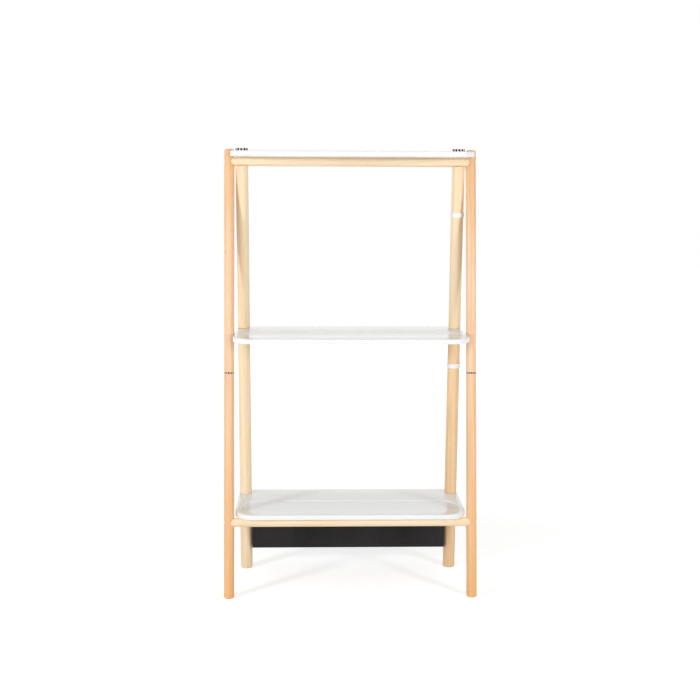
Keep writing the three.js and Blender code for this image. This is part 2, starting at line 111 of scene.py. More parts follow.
# %% Shared sizes
LEAN = math.radians(11.2)
LEG_DIRECTION = Vector((0, math.sin(LEAN), math.cos(LEAN)))
MILLIMETRE = 0.001
FIT_GAP = 0.3 * MILLIMETRE
CROSSBAR_FORWARD = 1 * MILLIMETRE
SIDES = {"left": -1, "right": 1}
LEVELS = ("bottom", "middle", "top")
SCREW_PLACES = ("left", "middle", "right")
ROUND_STEPS = 96


def box_corners(node):
    low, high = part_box(node)
    return Vector(low), Vector(high)


def box_centre(node):
    low, high = box_corners(node)
    return (low + high) / 2


def box_size(node):
    low, high = box_corners(node)
    return high - low


FRONT_RADIUS = box_size("front_leg_left_ring").x / 2
BACK_RADIUS = box_size("back_leg_left_middle").x / 2
BAR_RADIUS = box_size("crossbar_top").z / 2


def front_axis_point(label, height):
    """The point of a front leg's axis at a height above the floor."""
    bar = box_centre("crossbar_top")
    across = box_centre(f"front_leg_{label}_ring").x
    return Vector((across, bar.y + CROSSBAR_FORWARD + (height - bar.z) * math.tan(LEAN), height))


print("dowel radii", rounded((FRONT_RADIUS, BACK_RADIUS, BAR_RADIUS)))

# %% [markdown]
# ## Working in edit mode from a script
#
# Blender's tools act on whatever is selected, as they do by hand. These helpers clear the
# selection, go into edit mode with only the faces or edges that pass a test selected, and come
# back out again.

# %% Selection helpers
TOLERANCE = 0.01 * MILLIMETRE
SQUARELY = 0.9
SMOOTH_DEGREES = 32


def deselect_everything():
    bpy.ops.object.select_all(action="DESELECT")


def make_active(piece):
    deselect_everything()
    piece.select_set(True)
    bpy.context.view_layer.objects.active = piece


def enter_edit(piece, kind, action):
    """Goes into edit mode for faces or edges, with all or none of them selected."""
    make_active(piece)
    bpy.ops.object.mode_set(mode="EDIT")
    bpy.ops.mesh.select_mode(type=kind)
    bpy.ops.mesh.select_all(action=action)


def leave_edit():
    bpy.ops.object.mode_set(mode="OBJECT")


def edit_everything(piece):
    enter_edit(piece, "FACE", "SELECT")


def edit_faces(piece, test):
    """Goes into edit mode with the faces that pass the test selected."""
    enter_edit(piece, "FACE", "DESELECT")
    leave_edit()
    for face in piece.data.polygons:
        face.select = bool(test(face))
    bpy.ops.object.mode_set(mode="EDIT")


def edit_edges(piece, test):
    """Goes into edit mode with the edges whose two ends pass the test selected."""
    enter_edit(piece, "EDGE", "DESELECT")
    leave_edit()
    points = piece.data.vertices
    for edge in piece.data.edges:
        edge.select = bool(test(*(points[index].co for index in edge.vertices)))
    bpy.ops.object.mode_set(mode="EDIT")


def bevel_edges(width, steps):
    bpy.ops.mesh.bevel(offset=width, segments=steps, affect="EDGES", profile=0.5)


def bevel_rim(width, steps):
    """Bevels the edges round the selected faces."""
    bpy.ops.mesh.region_to_loop()
    bevel_edges(width, steps)


def settle(piece):
    """Puts the piece's place into its mesh, so that its object sits unturned at the origin."""
    make_active(piece)
    bpy.ops.object.transform_apply(location=True, rotation=True, scale=True)
    return piece


def turn_faces_outwards(piece):
    edit_everything(piece)
    bpy.ops.mesh.normals_make_consistent(inside=False)
    leave_edit()


def join_pieces(first, *others):
    make_active(first)
    for other in others:
        other.select_set(True)
    bpy.ops.object.join()
    return first


def apply_modifier(piece, modifier):
    make_active(piece)
    bpy.ops.object.modifier_apply(modifier=modifier.name)


def carve(piece, tool):
    """Cuts the tool's shape out of the piece and throws the tool away."""
    cutter = piece.modifiers.new("cut", "BOOLEAN")
    cutter.operation = "DIFFERENCE"
    cutter.solver = "EXACT"
    cutter.object = tool
    apply_modifier(piece, cutter)
    bpy.data.objects.remove(tool)


def soften(piece, width, steps=2, degrees=40):
    """Rounds every edge that is sharper than an angle."""
    rounding = piece.modifiers.new("soften", "BEVEL")
    rounding.width = width
    rounding.segments = steps
    rounding.limit_method = "ANGLE"
    rounding.angle_limit = math.radians(degrees)
    apply_modifier(piece, rounding)


def finish_piece(piece, node, form, body="stand"):
    """Names a piece, lets it ride on its body and hides the measured node that it stands for."""
    piece.name = f"{node}_{form}"
    piece.data.name = piece.name
    make_active(piece)
    bpy.ops.object.shade_smooth_by_angle(angle=math.radians(SMOOTH_DEGREES))
    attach(piece, body)
    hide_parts(node)
    return piece


print("helpers ready")

# %% [markdown]
# ## Dowels
#
# Every leg and bar is a round wooden dowel. A cylinder between two points is the natural start.
# Its rims are then bevelled, because a sawn and sanded end never has a knife edge, and the small
# rounding catches a line of light.

# %% Dowel helpers
BIG_FACE = 8


def is_big(face):
    """True for a dowel's round end and false for the narrow faces of its side."""
    return len(face.vertices) > BIG_FACE


def round_stock(start, end, radius, steps=ROUND_STEPS):
    """A cylinder from start to end, with its place in its mesh."""
    start, end = Vector(start), Vector(end)
    run = end - start
    turn = run.to_track_quat("Z", "Y").to_euler()
    deselect_everything()
    bpy.ops.mesh.primitive_cylinder_add(
        vertices=steps, radius=radius, depth=run.length, location=(start + end) / 2, rotation=turn
    )
    return settle(bpy.context.object)


def upright_stock(node, radius):
    """A cylinder as tall as a measured node and in its place."""
    low, high = box_corners(node)
    centre = box_centre(node)
    return round_stock((centre.x, centre.y, low.z), (centre.x, centre.y, high.z), radius)


def round_rim(piece, towards, width, steps=4):
    """Bevels the rim of the flat end that faces a direction."""
    direction = Vector(towards).normalized()
    edit_faces(piece, lambda face: is_big(face) and face.normal.dot(direction) > SQUARELY)
    bevel_rim(width, steps)
    leave_edit()


def bore(piece, start, end, radius, steps=48):
    carve(piece, round_stock(start, end, radius, steps))


def bore_for(piece, fastener, axis, radius):
    """Drills a clearance hole for a fastener, along the X or Z axis of its box."""
    centre = box_centre(fastener)
    reach = Vector((axis == "X", 0, axis == "Z")) * box_size(fastener)["XYZ".index(axis)] / 2
    bore(piece, centre - reach, centre + reach, radius + FIT_GAP)


print("dowel helpers ready")

# %% [markdown]
# ## Front legs
#
# Each front leg is two dowels that meet at a castellated ring halfway up. The foot is sawn level
# with the floor although the leg leans, so the dowel is made too long and then cut with bisect at
# floor height. A shallow round pocket in the outer side hides the head of the crossbar's bolt.

# %% Front leg halves
FOOT_CHAMFER = 3 * MILLIMETRE
TOP_ROUNDING = 3 * MILLIMETRE
JOINT_BREAK = 0.3 * MILLIMETRE
RING_HEIGHT = 3.4 * MILLIMETRE
RING_SLOT_HEIGHT = 2.6 * MILLIMETRE
BOLT_POCKET_RADIUS = 4.5 * MILLIMETRE
BOLT_POCKET_DEPTH = 4.2 * MILLIMETRE
FOOT_SPARE = 0.03


def ring_span(label):
    """Where the ring starts and ends along the leg, as two points on the axis."""
    middle = front_axis_point(label, box_centre(f"front_leg_{label}_ring").z)
    half = LEG_DIRECTION * (RING_HEIGHT / 2)
    return middle - half, middle + half


def bolt_pocket(leg, label, bar):
    """The recess in the leg's outer side, in line with a crossbar."""
    outward = Vector((SIDES[label], 0, 0))
    centre = box_centre(bar)
    surface = Vector((front_axis_point(label, 0).x, centre.y, centre.z)) + outward * FRONT_RADIUS
    bore(leg, surface + outward * FRONT_RADIUS, surface - outward * BOLT_POCKET_DEPTH, BOLT_POCKET_RADIUS)


def front_leg_lower(label):
    below_ring = ring_span(label)[0] - LEG_DIRECTION * FIT_GAP
    leg = round_stock(front_axis_point(label, -FOOT_SPARE), below_ring, FRONT_RADIUS)
    edit_everything(leg)
    bpy.ops.mesh.bisect(plane_co=(0, 0, 0), plane_no=(0, 0, 1), use_fill=True, clear_inner=True)
    leave_edit()
    round_rim(leg, (0, 0, -1), FOOT_CHAMFER)
    round_rim(leg, LEG_DIRECTION, JOINT_BREAK, 2)
    bolt_pocket(leg, label, "crossbar_bottom")
    node = f"front_leg_{label}_lower"
    return finish_piece(leg, node, "dowel")


def front_leg_upper(label):
    above_ring = ring_span(label)[1] + LEG_DIRECTION * FIT_GAP
    node = f"front_leg_{label}_upper"
    highest = box_corners(node)[1].z
    flat_radius = FRONT_RADIUS - TOP_ROUNDING
    top = highest - flat_radius * math.sin(LEAN) - TOP_ROUNDING * (1 - math.cos(LEAN))
    leg = round_stock(above_ring, front_axis_point(label, top), FRONT_RADIUS)
    round_rim(leg, LEG_DIRECTION, TOP_ROUNDING, 6)
    round_rim(leg, -LEG_DIRECTION, JOINT_BREAK, 2)
    bolt_pocket(leg, label, "crossbar_top")
    return finish_piece(leg, node, "dowel")


front_legs = [make(label) for label in SIDES for make in (front_leg_lower, front_leg_upper)]
print("front legs", [piece.name for piece in front_legs])

# %% [markdown]
# ## Castellated rings and caps
#
# A ring with twelve square notches shows at each front leg's middle, and a taller one caps each
# back leg. A short cylinder is inset and bridged to a ring, and then the faces between the
# notches are extruded upwards in one go. A last bevel takes the sharpness off the teeth. The slots
# are nearly black inside because shade gathers there, so their faces are marked here and given
# painted shade later: a dark finish on their walls and floors.

# %% Castellated shapes
SLOT_COUNT = 12
SLOT_DEGREES = 17.5
CORE_RADIUS = 8.3 * MILLIMETRE
CASTLE_STEPS = 288
CAP_FLANGE = 2 * MILLIMETRE
SLOT_WALL_MARGIN = 0.4 * MILLIMETRE
RING_SOFTENING = 0.15 * MILLIMETRE
CAP_SOFTENING = 0.35 * MILLIMETRE


def between_slots(face):
    """True where a tooth stands. The slots are counted from the one that faces the viewer."""
    turn = math.degrees(math.atan2(face.center.y, face.center.x)) + 90
    pitch = 360 / SLOT_COUNT
    from_slot = abs((turn + pitch / 2) % pitch - pitch / 2)
    return from_slot > SLOT_DEGREES / 2


def mark_slots(ring, radius, flange):
    """Marks the walls and floors of the slots, which get a dark finish later as painted shade."""
    marks = ring.data.attributes.new("in_slot", "BOOLEAN", "FACE")
    for face in ring.data.polygons:
        outward = Vector((face.center.x, face.center.y, 0))
        at_rim = outward.length > radius - SLOT_WALL_MARGIN
        outside = at_rim and face.normal.dot(outward.normalized()) > 0.5
        on_tooth = face.normal.z > 0.5 and face.center.z > flange + SLOT_WALL_MARGIN
        under = face.center.z < flange - SLOT_WALL_MARGIN
        marks.data[face.index].value = not (outside or on_tooth or under)


def castellated_ring(radius, flange, height, softening):
    """A notched ring about the Z axis, standing on Z = 0, one notch facing the viewer."""
    ring = round_stock((0, 0, 0), (0, 0, flange), radius, CASTLE_STEPS)
    edit_faces(ring, is_big)
    bpy.ops.mesh.inset(thickness=radius - CORE_RADIUS - FIT_GAP, depth=0)
    bpy.ops.mesh.bridge_edge_loops()
    leave_edit()
    edit_faces(ring, lambda face: abs(face.center.z - flange) < TOLERANCE and between_slots(face))
    bpy.ops.mesh.extrude_region_move(TRANSFORM_OT_translate={"value": (0, 0, height - flange)})
    leave_edit()
    turn_faces_outwards(ring)
    soften(ring, softening)
    mark_slots(ring, radius, flange)
    return ring


def ring_on_leg(label):
    flange = RING_HEIGHT - RING_SLOT_HEIGHT
    ring = castellated_ring(FRONT_RADIUS, flange, RING_HEIGHT, RING_SOFTENING)
    ring.rotation_euler = (-LEAN, 0, 0)
    ring.location = ring_span(label)[0]
    settle(ring)
    node = f"front_leg_{label}_ring"
    return finish_piece(ring, node, "castle")


def cap_on_leg(label):
    node = f"back_leg_{label}_cap"
    low, high = box_corners(node)
    cap = castellated_ring(BACK_RADIUS, CAP_FLANGE, high.z - low.z, CAP_SOFTENING)
    cap.location = ((low.x + high.x) / 2, (low.y + high.y) / 2, low.z)
    settle(cap)
    return finish_piece(cap, node, "castle")


rings = [ring_on_leg(label) for label in SIDES]
caps = [cap_on_leg(label) for label in SIDES]
print("castellated pieces", [piece.name for piece in rings + caps])

# %% [markdown]
# ## Cap cores
#
# Between the teeth of each cap a dark threaded core shows. From above it is a small round plug,
# so its top is inset and pressed in to a shallow dish.

# %% Cap cores
CORE_RIM = 0.6 * MILLIMETRE
DISH_MARGIN = 1.6 * MILLIMETRE
DISH_SLOPE = 0.4 * MILLIMETRE
DISH_DEPTH = 0.7 * MILLIMETRE


def cap_core(label):
    node = f"back_leg_{label}_cap_core"
    core = upright_stock(node, CORE_RADIUS)
    round_rim(core, (0, 0, 1), CORE_RIM, 3)
    edit_faces(core, lambda face: is_big(face) and face.normal.z > SQUARELY)
    bpy.ops.mesh.inset(thickness=DISH_MARGIN, depth=0)
    bpy.ops.mesh.inset(thickness=DISH_SLOPE, depth=-DISH_DEPTH)
    leave_edit()
    return finish_piece(core, node, "plug")


cores = [cap_core(label) for label in SIDES]
print("cap cores", [piece.name for piece in cores])

# %% [markdown]
# ## Back legs
#
# Each back leg is a stack of three upright dowels with a tray clamped at each joint. Only the
# foot has a real chamfer; the other ends are just broken. The top end is hollowed for the
# crossbar, and the hollow is cut with the crossbar's own round shape.

# %% Back leg segments
BACK_FOOT_CHAMFER = 2.5 * MILLIMETRE
END_BREAK = 0.6 * MILLIMETRE
BAR_CUTTER_REACH = Vector((0.3, 0, 0))


def back_leg_segment(label, level):
    node = f"back_leg_{label}_{level}"
    leg = upright_stock(node, BACK_RADIUS)
    round_rim(leg, (0, 0, -1), BACK_FOOT_CHAMFER if level == "lower" else END_BREAK)
    round_rim(leg, (0, 0, 1), END_BREAK)
    if level == "upper":
        bar = box_centre("crossbar_top")
        bore(leg, bar - BAR_CUTTER_REACH, bar + BAR_CUTTER_REACH, BAR_RADIUS + FIT_GAP, ROUND_STEPS)
    return finish_piece(leg, node, "dowel")


back_legs = [back_leg_segment(label, level) for label in SIDES for level in ("lower", "middle", "upper")]
print("back legs", len(back_legs))

# %% [markdown]
# ## Crossbars
#
# The crossbars' ends are coped: hollowed so that they wrap round the front legs. Subtracting a
# slightly larger copy of each leg is the same cut that a hole saw makes on the real bar.

# %% Crossbars
LEG_CUTTER_REACH = 0.06


def crossbar(level):
    node = f"crossbar_{level}"
    centre = box_centre(node)
    reach = Vector((box_centre("front_leg_right_ring").x, 0, 0))
    bar = round_stock(centre - reach, centre + reach, BAR_RADIUS)
    for label in SIDES:
        near = front_axis_point(label, centre.z - LEG_CUTTER_REACH)
        far = front_axis_point(label, centre.z + LEG_CUTTER_REACH)
        bore(bar, near, far, FRONT_RADIUS + FIT_GAP, ROUND_STEPS)
    return finish_piece(bar, node, "dowel")


crossbars = [crossbar(level) for level in ("bottom", "top")]
print("crossbars", [rounded(piece.dimensions) for piece in crossbars])

# %% [markdown]
# ## Trays
#
# A tray is a flat white board with rounded corners and a shallow well for the pots. A box gets
# its upright corner edges bevelled wide, then its rims bevelled narrow. The well is cut with a
# smaller board that has its own rounder corners at the back, and the well's lip is eased.

# %% Trays
TRAY_FRONT_CORNER = 40 * MILLIMETRE
TRAY_BACK_CORNER = 20 * MILLIMETRE
TRAY_RIM = 1.5 * MILLIMETRE
WELL_DEPTH = 1.5 * MILLIMETRE
WELL_FRONT_MARGIN = 16.5 * MILLIMETRE
WELL_SIDE_MARGIN = 9.5 * MILLIMETRE
WELL_LENGTH = 90 * MILLIMETRE
WELL_FRONT_CORNER = 26 * MILLIMETRE
WELL_BACK_CORNER = 44 * MILLIMETRE
WELL_FILLET = 1.2 * MILLIMETRE
WELL_LIP = 0.3 * MILLIMETRE
STUD_RADIUS = 3 * MILLIMETRE
PIN_RADIUS = 2.5 * MILLIMETRE
CORNER_STEPS = 18
SCREW_RADIUS = 1.8 * MILLIMETRE


def upright_edge_at(depth):
    """A test for a box's upright edges at one place along Y."""

    def passes(start, end):
        upright = abs(start.x - end.x) < TOLERANCE
        return upright and abs(start.y - depth) + abs(end.y - depth) < TOLERANCE

    return passes


def solid_box(centre, size):
    deselect_everything()
    bpy.ops.mesh.primitive_cube_add(size=1, location=centre, scale=size)
    return settle(bpy.context.object)


def rounded_board(low, high, front_corner, back_corner):
    """A box whose front and back corners are rounded in plan."""
    board = solid_box((low + high) / 2, high - low)
    for depth, radius in ((low.y, front_corner), (high.y, back_corner)):
        edit_edges(board, upright_edge_at(depth))
        bevel_edges(radius, CORNER_STEPS)
        leave_edit()
    return board


def round_board_rims(board, directions, width):
    """Rounds the rims of the faces that look down, for a direction of -1, or up, for 1."""
    for direction in directions:
        edit_faces(board, lambda face: face.normal.z * direction > SQUARELY)
        bevel_rim(width, 4)
        leave_edit()


def well_cutter(low, high):
    """The shape of a tray's well, from its floor to above the tray."""
    front = low.y + WELL_FRONT_MARGIN
    cutter_low = Vector((low.x + WELL_SIDE_MARGIN, front, high.z - WELL_DEPTH))
    cutter_high = Vector((high.x - WELL_SIDE_MARGIN, front + WELL_LENGTH, high.z + WELL_DEPTH))
    cutter = rounded_board(cutter_low, cutter_high, WELL_FRONT_CORNER, WELL_BACK_CORNER)
    round_board_rims(cutter, (-1,), WELL_FILLET)
    return cutter


def tray(level):
    node = f"{level}_tray"
    low, high = box_corners(node)
    board = rounded_board(low, high, TRAY_FRONT_CORNER, TRAY_BACK_CORNER)
    round_board_rims(board, (-1, 1), TRAY_RIM)
    carve(board, well_cutter(low, high))
    soften(board, WELL_LIP, 3)
    for label in SIDES:
        bore_for(board, f"back_leg_{label}_stud_{level}_tray", "Z", STUD_RADIUS)
        if level == "middle":
            bore_for(board, f"middle_tray_pin_{label}", "X", PIN_RADIUS)
    if level == "bottom":
        for place in SCREW_PLACES:
            bore_for(board, f"trough_screw_{place}", "Z", SCREW_RADIUS)
    return finish_piece(board, node, "board")


trays = [tray(level) for level in LEVELS]
print("trays", [(piece.name, len(piece.data.polygons)) for piece in trays])

# %% [markdown]
# ## Cable trough
#
# The trough is one sheet of steel folded three times. Folding is what extrude does to an open
# edge: the front wall starts as a plane, its bottom edge is drawn back to a floor and up to a low
# back wall, and its top edge is drawn back to a flange. The folds are bevelled to bends, and
# Solidify gives the sheet its thickness. Two end plates are welded in.

# %% Cable trough
SHEET = 1.5 * MILLIMETRE
BEND_RADIUS = 3.5 * MILLIMETRE
FLANGE_WIDTH = 20 * MILLIMETRE
BACK_WALL_HEIGHT = 40 * MILLIMETRE
END_FRONT_HEIGHT = 62 * MILLIMETRE
END_BACK_HEIGHT = 36 * MILLIMETRE
END_INSET = 0.3 * MILLIMETRE
BEND_STEPS = 6
SHEET_EDGE = 0.3 * MILLIMETRE
SHEET_EDGE_DEGREES = 60


def upright_sheet(centre, width, height, turn):
    """A plane stood on edge, facing the viewer or, turned by 90 degrees, facing sideways."""
    deselect_everything()
    bpy.ops.mesh.primitive_plane_add(size=1, location=centre, rotation=(math.pi / 2, 0, turn))
    sheet = bpy.context.object
    sheet.scale = (width, height, 1)
    return settle(sheet)


def draw_out(sheet, test, *moves):
    """Extrudes the open edge that passes the test by each move in turn."""
    edit_edges(sheet, test)
    for move in moves:
        bpy.ops.mesh.extrude_region_move(TRANSFORM_OT_translate={"value": move})
    leave_edit()


def thicken(sheet):
    wall = sheet.modifiers.new("sheet", "SOLIDIFY")
    wall.thickness = SHEET
    wall.offset = 0
    wall.use_even_offset = True
    apply_modifier(sheet, wall)
    turn_faces_outwards(sheet)


def is_at(point, fold):
    """True where a point lies on a fold, which is given by its Y and Z."""
    return abs(point.y - fold[0]) < TOLERANCE and abs(point.z - fold[1]) < TOLERANCE


def folded_sheet(low, high):
    """The front wall, floor, low back wall and flange, as one sheet with bends."""
    half = SHEET / 2
    front, back, floor, flange = low.y + half, high.y - half, low.z + half, high.z - half
    centre = ((low.x + high.x) / 2, front, (floor + flange) / 2)
    sheet = upright_sheet(centre, high.x - low.x, flange - floor, 0)
    to_back_wall = (0, back - front, 0)
    up_back_wall = (0, 0, BACK_WALL_HEIGHT - half)
    draw_out(sheet, lambda start, end: max(start.z, end.z) < floor + TOLERANCE, to_back_wall, up_back_wall)
    to_flange_edge = (0, FLANGE_WIDTH - half, 0)
    draw_out(sheet, lambda start, end: min(start.z, end.z) > flange - TOLERANCE, to_flange_edge)
    folds = ((front, floor), (back, floor), (front, flange))
    edit_edges(sheet, lambda start, end: any(is_at(start, fold) and is_at(end, fold) for fold in folds))
    bevel_edges(BEND_RADIUS, BEND_STEPS)
    leave_edit()
    thicken(sheet)
    return sheet


def end_plate(low, high, side):
    """A side wall of the trough, lower at its back than at its front."""
    half = SHEET / 2
    bottom, top = low.z + half, low.z + END_FRONT_HEIGHT
    middle = (low.y + high.y) / 2
    centre = (side * (high.x - half - END_INSET), middle, (bottom + top) / 2)
    plate = upright_sheet(centre, high.y - low.y - SHEET, top - bottom, math.pi / 2)
    edit_edges(plate, lambda start, end: max(start.z, end.z) < bottom + TOLERANCE)
    bpy.ops.mesh.bevel(offset=BEND_RADIUS, segments=BEND_STEPS, affect="VERTICES")
    leave_edit()
    for point in plate.data.vertices:
        if point.co.z > top - TOLERANCE and point.co.y > middle:
            point.co.z = low.z + END_BACK_HEIGHT
    thicken(plate)
    return plate


def cable_trough():
    low, high = box_corners("cable_trough")
    folded = folded_sheet(low, high)
    reach = Vector((0, 0, 2 * SHEET))
    for place in SCREW_PLACES:
        screw = box_centre(f"trough_screw_{place}")
        top = Vector((screw.x, screw.y, high.z))
        bore(folded, top - reach, top + reach, SCREW_RADIUS + FIT_GAP, 32)
    join_pieces(folded, *(end_plate(low, high, side) for side in SIDES.values()))
    soften(folded, SHEET_EDGE, 2, SHEET_EDGE_DEGREES)
    return finish_piece(folded, "cable_trough", "folded")


trough = cable_trough()
print("trough", rounded(trough.dimensions))

# %% [markdown]
# ## Cable clips
#
# A clip is an open band round a back leg with a small open hook behind it for a cable. Both are a
# small rounded section swept round an upright axis, which is what the spin tool does. Run from a
# script, spin turns clockwise seen from above, so the sweep starts at the opening's first angle.

# %% Cable clips
CLIP_WALL = 1.4 * MILLIMETRE
CLIP_OPENING = (75, 165)
HOOK_OPENING = (60, 140)
HOOK_ANGLE = math.radians(50)
HOOK_RADIUS = 3.6 * MILLIMETRE
SWEEP_STEP = 0.6 * MILLIMETRE
CLIP_SOFTENING = 0.35 * MILLIMETRE


def swept_band(axis, inner_radius, height, opening):
    """A flat strip swept round an upright axis, open between two angles in degrees."""
    start, sweep = math.radians(opening[0]), math.radians(360 + opening[0] - opening[1])
    outward = Vector((math.cos(start), math.sin(start), 0))
    strip = upright_sheet(axis + outward * (inner_radius + CLIP_WALL / 2), CLIP_WALL, height, start)
    edit_everything(strip)
    bpy.ops.mesh.delete(type="ONLY_FACE")
    bpy.ops.mesh.select_all(action="SELECT")
    steps = math.ceil(sweep * inner_radius / SWEEP_STEP)
    bpy.ops.mesh.spin(steps=steps, angle=sweep, center=axis, axis=(0, 0, 1))
    bpy.ops.mesh.select_all(action="SELECT")
    bpy.ops.mesh.fill_holes(sides=4)
    leave_edit()
    turn_faces_outwards(strip)
    soften(strip, CLIP_SOFTENING, 3)
    return strip


def cable_clip(level):
    node = f"cable_clip_{level}"
    height = box_size(node).z
    leg = box_centre("back_leg_right_middle")
    axis = Vector((leg.x, leg.y, box_centre(node).z))
    inner = BACK_RADIUS + FIT_GAP
    band = swept_band(axis, inner, height, CLIP_OPENING)
    reach = inner + CLIP_WALL + HOOK_RADIUS + CLIP_WALL / 4
    hook_axis = axis + Vector((math.cos(HOOK_ANGLE), math.sin(HOOK_ANGLE), 0)) * reach
    clip = join_pieces(band, swept_band(hook_axis, HOOK_RADIUS, height, HOOK_OPENING))
    return finish_piece(clip, node, "band", f"{level}_clip")


clips = [cable_clip(level) for level in ("upper", "lower")]
print("clips", [rounded(piece.dimensions) for piece in clips])

# %% [markdown]
# ## Bolts and screws
#
# The bolts that hold the crossbars show only their heads, deep in the legs' pockets. The screws
# that hold the trough show from below. Each is a shank and a wider head with a rounded rim, and a
# socket or a cross is cut into the head with a shape as wide as the driver.

# %% Bolts and screws
BOLT_HEAD_RADIUS = 4.2 * MILLIMETRE
BOLT_HEAD_LENGTH = 3.2 * MILLIMETRE
CROWN_SINK = 0.8 * MILLIMETRE
SOCKET_RADIUS = 2.3 * MILLIMETRE
SOCKET_DEPTH = 1.8 * MILLIMETRE
SCREW_HEAD_RADIUS = 4 * MILLIMETRE
SCREW_HEAD_LENGTH = 2.2 * MILLIMETRE
SCREW_CROWN = 1.5 * MILLIMETRE
CROSS_WIDTH = 0.9 * MILLIMETRE
CROSS_LENGTH = 4.4 * MILLIMETRE
CROSS_DEPTH = 1.1 * MILLIMETRE
FASTENER_STEPS = 48


def headed_fastener(tip, crown, shank_radius, head_radius, head_length, rounding, cut_drive):
    """A fastener from its tip to the crown of its head, which gets its drive before it is joined."""
    outward = (crown - tip).normalized()
    under_head = crown - outward * head_length
    shank = round_stock(tip, under_head, shank_radius, FASTENER_STEPS)
    round_rim(shank, -outward, END_BREAK, 2)
    head = round_stock(under_head, crown, head_radius, FASTENER_STEPS)
    round_rim(head, outward, rounding)
    cut_drive(head, crown, outward)
    return join_pieces(head, shank)


def cut_socket(head, crown, outward):
    """Cuts a six-sided socket into a bolt's head."""
    reach = outward * SOCKET_DEPTH
    bore(head, crown - reach, crown + reach, SOCKET_RADIUS, 6)


def cut_cross(head, crown, _outward):
    """Cuts a cross into a screw's head, which faces straight down."""
    for size in ((CROSS_LENGTH, CROSS_WIDTH), (CROSS_WIDTH, CROSS_LENGTH)):
        carve(head, solid_box(crown, (*size, 2 * CROSS_DEPTH)))


def crossbar_bolt(level, label):
    node = f"crossbar_bolt_{level}_{label}"
    centre = box_centre(node)
    reach = Vector((SIDES[label] * box_size(node).x / 2, 0, 0))
    crown = centre + reach - reach.normalized() * CROWN_SINK
    bolt = headed_fastener(
        centre - reach, crown, STUD_RADIUS, BOLT_HEAD_RADIUS, BOLT_HEAD_LENGTH, END_BREAK, cut_socket
    )
    return finish_piece(bolt, node, "socket_head")


def trough_screw(place):
    node = f"trough_screw_{place}"
    centre = box_centre(node)
    reach = Vector((0, 0, box_size(node).z / 2))
    crown = centre - reach
    screw = headed_fastener(
        centre + reach, crown, SCREW_RADIUS, SCREW_HEAD_RADIUS, SCREW_HEAD_LENGTH, SCREW_CROWN, cut_cross
    )
    return finish_piece(screw, node, "pan_head")


bolts = [crossbar_bolt(level, label) for level in ("bottom", "top") for label in SIDES]
screws = [trough_screw(place) for place in SCREW_PLACES]
print("bolts and screws", len(bolts), len(screws))

# %% [markdown]
# ## Node helpers
#
# A finish is a small network of shader nodes. These helpers add a node, link or set its inputs,
# and name the few kinds of node that the finishes share: noise, a change of range and a mix.

# %% Node helpers


def add_node(tree, kind, **settings):
    node = tree.nodes.new(kind)
    for setting, value in settings.items():
        setattr(node, setting, value)
    return node


def feed(tree, socket, source):
    """Links a socket to another node's output, or sets it to a plain value."""
    if isinstance(source, bpy.types.NodeSocket):
        tree.links.new(source, socket)
    else:
        socket.default_value = source


def noise(tree, vector, scale, detail=2.0, roughness=0.5, distortion=0.0):
    node = add_node(tree, "ShaderNodeTexNoise")
    feed(tree, node.inputs["Vector"], vector)
    node.inputs["Scale"].default_value = scale
    node.inputs["Detail"].default_value = detail
    node.inputs["Roughness"].default_value = roughness
    node.inputs["Distortion"].default_value = distortion
    return node.outputs["Fac"]


def stretched(tree, vector, scale=(1, 1, 1), turn=(0, 0, 0)):
    node = add_node(tree, "ShaderNodeMapping")
    feed(tree, node.inputs["Vector"], vector)
    node.inputs["Rotation"].default_value = turn
    node.inputs["Scale"].default_value = scale
    return node.outputs["Vector"]


def remap(tree, value, from_low, from_high, to_low, to_high):
    node = add_node(tree, "ShaderNodeMapRange")
    feed(tree, node.inputs["Value"], value)
    node.inputs["From Min"].default_value = from_low
    node.inputs["From Max"].default_value = from_high
    node.inputs["To Min"].default_value = to_low
    node.inputs["To Max"].default_value = to_high
    return node.outputs["Result"]


def calculate(tree, operation, first, second):
    node = add_node(tree, "ShaderNodeMath", operation=operation)
    feed(tree, node.inputs[0], first)
    feed(tree, node.inputs[1], second)
    return node.outputs["Value"]


def mix_colours(tree, factor, first, second):
    """A mix of two colours. The node's sockets for plain numbers come before those for colours."""
    node = add_node(tree, "ShaderNodeMix", data_type="RGBA")
    feed(tree, node.inputs[0], factor)
    feed(tree, node.inputs[6], first)
    feed(tree, node.inputs[7], second)
    return node.outputs[2]


def add_share(tree, base, mask, share, tint):
    """Lays a tint over a base where a mask is bright, at a share of its full strength."""
    return mix_colours(tree, calculate(tree, "MULTIPLY", mask, share), base, tint)


def bump(tree, height, strength, distance):
    node = add_node(tree, "ShaderNodeBump")
    node.inputs["Strength"].default_value = strength
    node.inputs["Distance"].default_value = distance
    feed(tree, node.inputs["Height"], height)
    return node.outputs["Normal"]


def object_place(tree):
    return add_node(tree, "ShaderNodeTexCoord").outputs["Object"]


def colour(red, green, blue):
    """A colour picked as 0-255 screen values, turned to the linear values that light uses."""
    return (*(linear(value / 255) for value in (red, green, blue)), 1)


def linear(value):
    return value / 12.92 if value <= 0.04045 else ((value + 0.055) / 1.055) ** 2.4


def empty_material(name):
    material = bpy.data.materials.new(name)
    material.use_nodes = True
    material.node_tree.nodes.clear()
    return material, material.node_tree


def show_surface(tree, source):
    """Links a shader to a new material output."""
    tree.links.new(source.outputs[0], add_node(tree, "ShaderNodeOutputMaterial").inputs["Surface"])


def new_finish(name, **constants):
    """An empty finish: a Principled shader that is linked to the output."""
    material, tree = empty_material(name)
    shader = add_node(tree, "ShaderNodeBsdfPrincipled")
    show_surface(tree, shader)
    for socket, value in constants.items():
        shader.inputs[socket.replace("_", " ")].default_value = value
    return material, tree, shader


